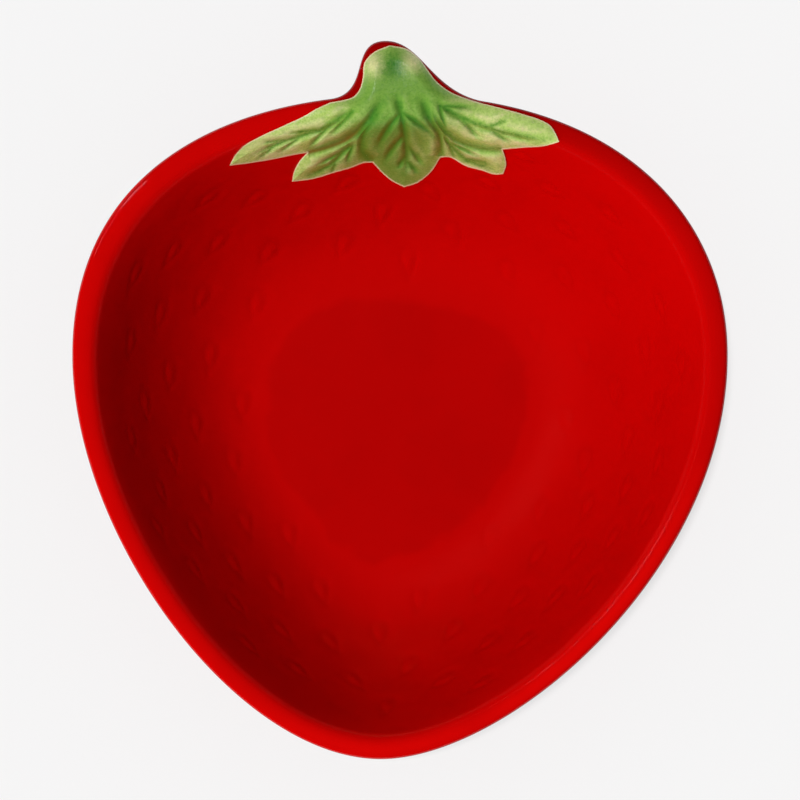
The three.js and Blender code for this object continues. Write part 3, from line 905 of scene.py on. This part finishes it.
def build_bowl(settings):
    """The bowl: each row of the section follows the outline, scaled to its radius, with its share of the lug.

    Seeds are pressed in along the normals: a groove on a seed's outline and a swell in its middle.
    """
    section = Section(settings.shape, settings.calyx)
    stations = even(np.vstack([OUTLINE, OUTLINE[:1]]), STATIONS + 1)[:-1]
    angle, reach = polar(stations)
    rim = rim_radius(angle)
    lug = np.maximum(0, reach - rim)
    radius, height, lug_share = section.rows()
    distance = radius[:, None] * rim / HALF_WIDTH + lug_share[:, None] * lug
    points = ring_points(angle, distance, height)

    seed = np.full(points.shape[:2], SEED_FAR)
    outer = slice(BASE_ROWS, BASE_ROWS + OUTER_ROWS)
    inner = slice(len(radius) - FLOOR_ROWS - INNER_ROWS, len(radius) - FLOOR_ROWS)
    shape = settings.seeds
    sides = (
        (inner, section.inner, 1, section.floor_height, SEEDS_INSIDE),
        (outer, section.outer, -1, BASE_HEIGHT, SEEDS_OUTSIDE),
    )
    for part, line, sign, ground, place in sides:
        low, high = ground + place["above"], RIM_HEIGHT - place["below"]
        seeds = seed_list(line, sign, shape, low, high, place["turn"])
        seed[part] = seed_distance(points[part], seeds, shape)
    lift = shape.swell / MM * (1 - ease(0, SWELL_END, seed))
    lift -= shape.groove / MM * bell(seed - 1, GROOVE_WIDTH)
    points += grid_normals(points) * lift[..., None]

    crest = np.argmax(height)
    run = lengths_along(np.column_stack([radius, height]))
    lip = np.broadcast_to(bell(run - run[crest], LIP_SPREAD)[:, None], seed.shape)
    inward = np.arange(len(radius)) > crest
    x, y, z = np.moveaxis(points, -1, 0)
    # Painted shade on the lip beside the stem and on its upper right
    pooled = ease(*SHADE_LEFT, x) * (1 - SHADE_LOSS * ease(*SHADE_RIGHT, x)) * ease(*SHADE_BACK, y)
    pooled *= ease(*SHADE_DEPTH, RIM_HEIGHT - z) * np.where(inward[:, None], lip, 1)
    # Painted light on the lip's right flank and round the tip
    flank = LIT_FLANK * ease(*FLANK_REACH, FLANK_WAY[0] * x + FLANK_WAY[1] * y)
    worn = np.maximum(flank, LIT_TIP * ease(*TIP_REACH, -y)) * lip
    across = np.broadcast_to(np.where(inward, radius / HALF_WIDTH, 1.0)[:, None], seed.shape)
    count = points.shape[0] * STATIONS
    poles = [(*CENTRE, BASE_HEIGHT), (*CENTRE, section.floor_height)]
    here = np.arange(STATIONS)
    after = np.roll(here, -1)
    last = count - STATIONS
    fans = np.vstack(
        [
            np.column_stack([after, here, np.full(STATIONS, count)]),
            np.column_stack([last + here, last + after, np.full(STATIONS, count + 1)]),
        ]
    )
    none = (0.0, 0.0)
    masks = {
        "seed": np.append(seed, (SEED_FAR, SEED_FAR)),
        "lip": np.append(lip, none),
        "worn": np.append(worn, none),
        "pooled": np.append(pooled, none),
        "across": np.append(across, (1.0, 0.0)),
    }
    blocks = [ring_faces(points.shape[0], STATIONS), fans]
    return add_piece("red_bowl", np.vstack([points.reshape(-1, 3), poles]), blocks, masks)


def build_foot(settings):
    """The foot ring: a rounded oblong section carried round the outline, scaled to the ring's radius."""
    outer = FOOT_RADIUS
    inner = outer - settings.shape.foot_width / MM
    corner = settings.shape.foot_round / MM
    turn = np.linspace(0, math.pi / 2, CORNER_ROWS)
    arc = corner * way(turn)
    under = BASE_HEIGHT + FOOT_SUNK
    section = np.vstack(
        [
            [(inner, under)],
            (inner + corner, corner) - arc,
            (outer - corner, corner) - arc[::-1] * (-1, 1),
            [(outer, under)],
        ]
    )
    angle = np.linspace(0, TURN, FOOT_STATIONS, endpoint=False)
    distance = section[:, :1] * rim_radius(angle) / HALF_WIDTH
    points = ring_points(angle, distance, section[:, 1])
    here = np.arange(FOOT_STATIONS)
    after = np.roll(here, -1)
    last = (len(section) - 1) * FOOT_STATIONS
    lid = np.column_stack([last + here, last + after, after, here])
    return add_piece("clay_foot", points.reshape(-1, 3), [ring_faces(len(section), FOOT_STATIONS), lid])


def line_distance(plan, line):
    """Distance of plan points from a polyline, and the share of its length at the nearest point."""
    step = np.diff(line, axis=0)
    offset = plan[..., None, :] - line[:-1]
    part = np.clip((offset * step).sum(-1) / (step**2).sum(-1), 0, 1)
    gap = np.linalg.norm(offset - part[..., None] * step, axis=-1)
    nearest = gap.argmin(-1)[..., None]
    part = np.take_along_axis(part, nearest, -1)[..., 0]
    gap = np.take_along_axis(gap, nearest, -1)[..., 0]
    return gap, (nearest[..., 0] + part) / len(step)


def fork_line(midrib, start, turn, reach):
    """A side vein: it leaves the midrib at an angle and bends a little back towards the midrib's way."""
    count = LINE_STEPS // 2
    at = start * (len(midrib) - 1)
    low = min(int(at), len(midrib) - 2)
    step = midrib[low + 1] - midrib[low]
    root = midrib[low] + (at - low) * step
    bend = math.atan2(step[1], step[0]) + math.radians(turn) * np.linspace(*VEIN_BEND, count)
    return np.vstack([root, root + np.cumsum(way(bend) * reach / count, axis=0)])


def groove_lines(calyx):
    """Every groove of the calyx: its line, width, depth, fading at its two ends and how brown it is."""
    for rib, forks in zip(MIDRIBS, FORKS):
        midrib = even(smooth_path(rib), LINE_STEPS)
        yield midrib, MIDRIB_WIDTH, calyx.midrib_depth / MM, *MIDRIB_FADES, 0.0
        for start, turn, reach in forks:
            vein = fork_line(midrib, start, turn, VEIN_STRETCH * reach)
            yield vein, VEIN_WIDTH, calyx.vein_depth / MM, *VEIN_FADES, 0.0
    for index, crown_places, share_of_depth, brown in CREASES:
        line = even(smooth_path((*crown_places, *VALLEYS[index])), LINE_STEPS)
        yield line, CREASE_WIDTH, calyx.crease_depth / MM * share_of_depth, *CREASE_FADES, brown


def stem_flanks():
    """The stem's left and right flank, from its top to the seam."""
    return smooth_path((STEM_TOP, *STEM_LEFT, SEAM_LEFT)), smooth_path((STEM_TOP, *STEM_RIGHT, SEAM_RIGHT))


def leaf_sides(index):
    """The left and right side of a leaf: the valley down to its notch, and the free edge on to the tip."""
    for valley, free in ((VALLEYS[index], LEFT_EDGES[index]), (VALLEYS[index + 1], RIGHT_EDGES[index])):
        yield smooth_path(valley), smooth_path((valley[-1], *free, LEAF_TIPS[index]))


def free_edges():
    """The free outline of the calyx: the stem's flanks and the leaves' edges from their notches on."""
    yield from stem_flanks()
    yield smooth_path(VALLEYS[0])
    yield smooth_path(VALLEYS[-1])
    for index in range(len(LEAF_TIPS)):
        for _, free in leaf_sides(index):
            yield free


def calyx_relief(seen, calyx):
    """Height of the calyx over its line, depth of its grooves, and its masks, at places in plan.

    Stem and crown are domes, the dimple and the two spots of painted highlight beside it are bells, and a
    groove is a bell across its line.
    """
    groove, vein, fold, ridge, joint = (np.zeros(seen.shape[:-1]) for _ in range(5))
    for line, width, depth, fade_in, fade_out, brown in groove_lines(calyx):
        distance, run = line_distance(seen, line)
        strength = ease(0, fade_in, run) * (1 - ease(1 - fade_out, 1, run))
        groove = np.maximum(groove, depth * strength * bell(distance, width))
        vein = np.maximum(vein, strength * bell(distance, VEIN_SHARE * width))
        fold = np.maximum(fold, strength * bell(distance, FOLD_SHARE * width))
        ridge = np.maximum(ridge, strength * bell(distance - RIDGE_PLACE * width, RIDGE_SHARE * width))
        joint = np.maximum(joint, brown * ease(*JOINT_START, run) * bell(distance, JOINT_SHARE * width))
    ridge *= 1 - vein
    edge = np.min([line_distance(seen, even(line, 2 * LINE_STEPS))[0] for line in free_edges()], axis=0)

    x, y = seen[..., 0], seen[..., 1]
    reach = ease(*CROWN_REACH, np.hypot(CROWN_SQUEEZE * (x - CROWN[0]), y - CROWN[1]))
    # The dimple: a shallow dip in the relief, painted dark as painted shade
    hollow = bell(np.linalg.norm(seen - DIMPLE, axis=-1), DIMPLE_WIDTH)
    spots = [bell(np.linalg.norm(seen - place, axis=-1), SPOT_WIDTH) for place in HIGHLIGHT_SPOTS]
    spot = np.max(spots, axis=0)
    rise = calyx.crown_rise + (calyx.leaf_rise - calyx.crown_rise) * reach
    rise += (calyx.stem_rise - calyx.crown_rise) * ease(*STEM_START, y - CROWN[1])
    rise = (rise + calyx.ridge_rise * ridge) / MM + SPOT_RISE * spot - calyx.dimple_depth / MM * hollow
    # Where the middle leaves run down the wall: olive glaze and painted shade, and less pale glaze
    down = ease(*OLIVE_SHADE_REACH, y) * bell(x - OLIVE_SHADE_MIDDLE, OLIVE_SHADE_WIDTH)
    # Paler glaze: thin glaze away from the grooves and near the free edges, a painted highlight on the
    # ridges, and painted light on the outer leaves and the left tip, held back on the right
    thin = (0.35 * (1 - fold) + 0.55 * ridge) * (0.3 + 0.7 * reach) + 0.55 * ease(*SHOULDERS, np.abs(x))
    thin += 0.25 * ease(*LEFT_SHOULDER, x) - 0.3 * ease(*RIGHT_SHOULDER, x)
    thin += 0.35 * (1 - ease(0, EDGE_REACH, edge)) * reach
    # The pale mask carries thin glaze and painted light, the depth mask olive glaze and painted shade, and
    # the mask of the spots and ridges painted highlights
    masks = {
        "reach": reach,
        "warm": 1 - ease(*WARM_EDGE, x),
        "depth": 0.75 * down,
        "thin": np.clip(thin * (1 - 0.7 * down) + 0.9 * spot, 0, 1),
        "bare": 0.45 * spot + 0.4 * ridge * reach * (1 - down),
        "vein": np.maximum(vein * 0.7, hollow),
        "joint": joint,
        "edge": edge,
    }
    return rise, groove, edge, masks


def build_relief(name, settings, section, seen):
    """A closed piece of the calyx over a grid of places: its top, an underside in the bowl and a rim between.

    The top rises from the bowl's surface at a free edge, in a quarter sine, to the calyx's height over it.
    Lower places look nearer the middle, by their depth over the camera's height, and are moved out to suit.
    """
    calyx = settings.calyx
    rise, groove, edge, masks = calyx_relief(seen, calyx)
    depth = RIM_HEIGHT - section.heights(seen)[0]
    plan = seen * (1 + depth / (settings.studio.view_height / MM))[..., None]
    surface, skin, upright = section.heights(plan)
    low = calyx.edge_rise / MM / upright
    full = skin - surface + (rise - groove) / upright
    swell = np.sin(np.clip(edge / (calyx.edge_round / MM), 0, 1) * math.pi / 2)
    top = surface + low + np.maximum(full - low, 0) * swell
    sheets = [np.dstack([plan, height]).reshape(-1, 3) for height in (top, surface - RELIEF_SUNK)]
    rows, columns = top.shape
    count = rows * columns
    here = np.arange(count).reshape(rows, columns)
    border = np.concatenate([here[0], here[1:, -1], here[-1, -2::-1], here[-2:0:-1, 0]])
    after = np.roll(border, -1)
    strip = np.column_stack([after, border, border + count, after + count])
    blocks = [sheet_faces(rows, columns), sheet_faces(rows, columns, count)[:, ::-1], strip]
    crease = np.zeros(2 * count, bool)
    crease[border] = True
    doubled = {key: np.tile(mask.ravel(), 2) for key, mask in masks.items()}
    return add_piece(name, np.vstack(sheets), blocks, doubled, crease)


def seam_drop(seen):
    """How far a place lies above the seam of stem and leaves, a line that sags as a parabola."""
    x = (seen[..., 0] - SEAM_LEFT[0]) / (SEAM_RIGHT[0] - SEAM_LEFT[0])
    line = SEAM_LEFT[1] + (SEAM_RIGHT[1] - SEAM_LEFT[1]) * x
    return seen[..., 1] - (line - SEAM_SAG * 4 * x * (1 - x))


def ruled(left, right, columns):
    """Rows of points between two lines, closer together near both."""
    v = (1 - np.cos(np.linspace(0, math.pi, columns))) / 2
    return left[:, None] + (right - left)[:, None] * v[None, :, None]


def leaf_places(index):
    """Places of one leaf: rows between its two edges, from the seam to just before its tip."""
    sides = (np.vstack([valley, free[1:]]) for valley, free in leaf_sides(index))
    seen = ruled(*(even(line, LEAF_ROWS, LEAF_END) for line in sides), LEAF_COLUMNS)
    t = np.linspace(0, 1, LEAF_ROWS)[:, None]
    seen[..., 1] -= seam_drop(seen[0]) * (1 - ease(0, LEAF_SETTLE, t))
    return seen[:, ::-1]


def stem_places():
    """Places of the stem: rows between its two flanks, from its top to the seam."""
    seen = ruled(*(even(line, STEM_ROWS) for line in stem_flanks()), STEM_COLUMNS)[1:]
    s = np.linspace(0, 1, STEM_ROWS - 1)[:, None]
    seen[..., 1] -= seam_drop(seen[-1]) * ease(STEM_BEND, 1, s)
    return seen[:, ::-1]


class MESH_OT_red_bowl(bpy.types.Operator):
    """Build the red bowl with its seeds, lip and stem lug"""

    bl_idname = "mesh.red_bowl"
    bl_label = "Red bowl"

    def execute(self, context):
        settings = context.scene.bowl_settings
        fit(build_bowl(settings), "bowl_body", red_glaze(settings.glazes))
        return {"FINISHED"}


class MESH_OT_clay_foot(bpy.types.Operator):
    """Build the clay ring that the bowl stands on"""

    bl_idname = "mesh.clay_foot"
    bl_label = "Clay foot"

    def execute(self, context):
        settings = context.scene.bowl_settings
        fit(build_foot(settings), "foot_ring", bare_clay(settings.glazes))
        return {"FINISHED"}


class MESH_OT_bowl_calyx(bpy.types.Operator):
    """Build the stem and the five leaves"""

    bl_idname = "mesh.bowl_calyx"
    bl_label = "Stem and leaves"

    def execute(self, context):
        settings = context.scene.bowl_settings
        section = Section(settings.shape, settings.calyx)
        material = leaf_glaze(settings.glazes)
        stem = build_relief("leaf_stem", settings, section, stem_places())
        fit(stem, "stem_cap", material)
        for index, name in enumerate(LEAF_NAMES):
            leaf = build_relief(f"leaf_{name}", settings, section, leaf_places(index))
            fit(leaf, f"sepal_{name}", material)
        return {"FINISHED"}


def add_lamp(name, kind, level, spread, azimuth, elevation, distance, pieces, glossy):
    """A lamp that faces the bowl from an azimuth, counted from +X, and an elevation, in degrees.

    Its spread is its size in metres, or a sun's angle in degrees. It lights only the pieces given. A lamp
    without gloss is left out of reflections.
    """
    lamp = bpy.data.lights.new(name, kind)
    lamp.energy = level
    if kind == "SUN":
        lamp.angle = math.radians(spread)
    else:
        lamp.size = spread
    lamp.cycles.use_multiple_importance_sampling = glossy
    level_part, up = way(math.radians(elevation))
    away = Vector((*(level_part * way(math.radians(azimuth))), up))
    place = bpy.data.objects.new(name, lamp)
    place.location = away * distance
    place.rotation_euler = away.to_track_quat("Z", "Y").to_euler()
    place.visible_camera = False
    place.visible_glossy = glossy
    lit = bpy.data.collections.new(f"{name}_lit")
    for piece in pieces:
        lit.objects.link(piece)
    place.light_linking.receiver_collection = lit
    bpy.context.scene.collection.objects.link(place)


def build_floor(studio):
    """A wide pale floor with lights of its own, seen near the backdrop's level, with its shadow."""
    corners = FLOOR_REACH * np.array([(-1, -1), (1, -1), (1, 1), (-1, 1)])
    corners = np.column_stack([corners, np.full(4, -FLOOR_GAP)])
    floor = add_piece("floor", corners, [np.arange(4)[None]])
    paint = Shader(bpy.data.materials.new("pale_floor"))
    grey = studio.floor_grey
    level = studio.backdrop - grey * (studio.floor_light + studio.floor_soft) / math.pi
    lit = paint.node("ShaderNodeBsdfDiffuse", None, {"Color": (grey, grey, grey, 1)})
    glow = paint.node("ShaderNodeEmission", None, {"Color": (1, 1, 1, 1), "Strength": level})
    pale = paint.node("ShaderNodeAddShader", None, {0: lit, 1: glow})
    mixed = paint.node("ShaderNodeMixShader", None, {0: paint.seen(), 1: lit, 2: pale})
    floor.data.materials.append(paint.finish(mixed))
    return floor


def build_world(studio):
    """A dim even world with a low pale backdrop all round, which fades out a little over the horizon."""
    world = bpy.data.worlds.new("studio")
    bpy.context.scene.world = world
    sky = Shader(world)
    outward = sky.node("ShaderNodeTexCoord", output="Generated")
    height = sky.node("ShaderNodeSeparateXYZ", None, {"Vector": outward}, "Z")
    backdrop = 1 - height.rise(*BACKDROP_FADE)
    level = sky.seen() * backdrop * (studio.backdrop - studio.ambient) + studio.ambient
    light = sky.node("ShaderNodeBackground", None, {"Color": (1, 1, 1, 1), "Strength": level})
    sky.finish(light, "ShaderNodeOutputWorld")


def build_camera(studio):
    """A camera straight over the bowl, whose lens takes in the view's width at the rim."""
    camera = bpy.data.cameras.new("camera")
    camera.lens = camera.sensor_width * studio.view_height / studio.view_width
    camera.clip_start, camera.clip_end = NEAREST_SEEN, FARTHEST_SEEN
    place = bpy.data.objects.new("camera", camera)
    place.location = (0, 0, RIM_HEIGHT * MM + studio.view_height)
    bpy.context.scene.collection.objects.link(place)
    bpy.context.scene.camera = place


class SCENE_OT_bowl_studio(bpy.types.Operator):
    """Set the floor, lamps and camera round the bowl"""

    bl_idname = "scene.bowl_studio"
    bl_label = "Studio"

    def execute(self, context):
        studio = context.scene.bowl_settings.studio
        context.scene.view_settings.view_transform = "Standard"
        leaves = [piece for piece in bpy.data.objects if piece.name.startswith("leaf_")]
        red = [bpy.data.objects["red_bowl"], bpy.data.objects["clay_foot"]]
        lit = {"all": red + leaves, "red": red, "leaves": leaves, "floor": [build_floor(studio)]}
        build_world(studio)
        build_camera(studio)
        for name, (setting, pieces, kind, spread, azimuth, elevation, distance, glossy) in LAMPS.items():
            level = getattr(studio, setting)
            add_lamp(name, kind, level, spread, azimuth, elevation, distance, lit[pieces], glossy)
        return {"FINISHED"}


class VIEW3D_PT_strawberry_bowl(bpy.types.Panel):
    """Lists the bowl's settings and the steps that build it"""

    bl_label = "Strawberry bowl"
    bl_space_type = "VIEW_3D"
    bl_region_type = "UI"
    bl_category = "Bowl"

    def draw(self, context):
        settings = context.scene.bowl_settings
        for operator in OPERATORS:
            self.layout.operator(operator.bl_idname)
        for group in (settings.shape, settings.seeds, settings.calyx, settings.glazes, settings.studio):
            box = self.layout.box()
            for name in group.bl_rna.properties.keys():
                if name not in ("rna_type", "name"):
                    box.prop(group, name)


OPERATORS = (MESH_OT_red_bowl, MESH_OT_clay_foot, MESH_OT_bowl_calyx, SCENE_OT_bowl_studio)
CLASSES = (
    BowlShape,
    SeedShape,
    CalyxShape,
    GlazeColours,
    StudioLight,
    BowlSettings,
    *OPERATORS,
    VIEW3D_PT_strawberry_bowl,
)


def register():
    """Adds the classes and the scene's settings."""
    for cls in CLASSES:
        bpy.utils.register_class(cls)
    bpy.types.Scene.bowl_settings = PointerProperty(
        type=BowlSettings, name="Bowl", description="Settings of the strawberry bowl"
    )


def unregister():
    """Takes the settings and the classes away."""
    del bpy.types.Scene.bowl_settings
    for cls in reversed(CLASSES):
        bpy.utils.unregister_class(cls)


def main():
    """Builds the bowl and its studio."""
    register()
    bpy.ops.mesh.red_bowl()
    bpy.ops.mesh.clay_foot()
    bpy.ops.mesh.bowl_calyx()
    bpy.ops.scene.bowl_studio()


if __name__ == "__main__":
    main()
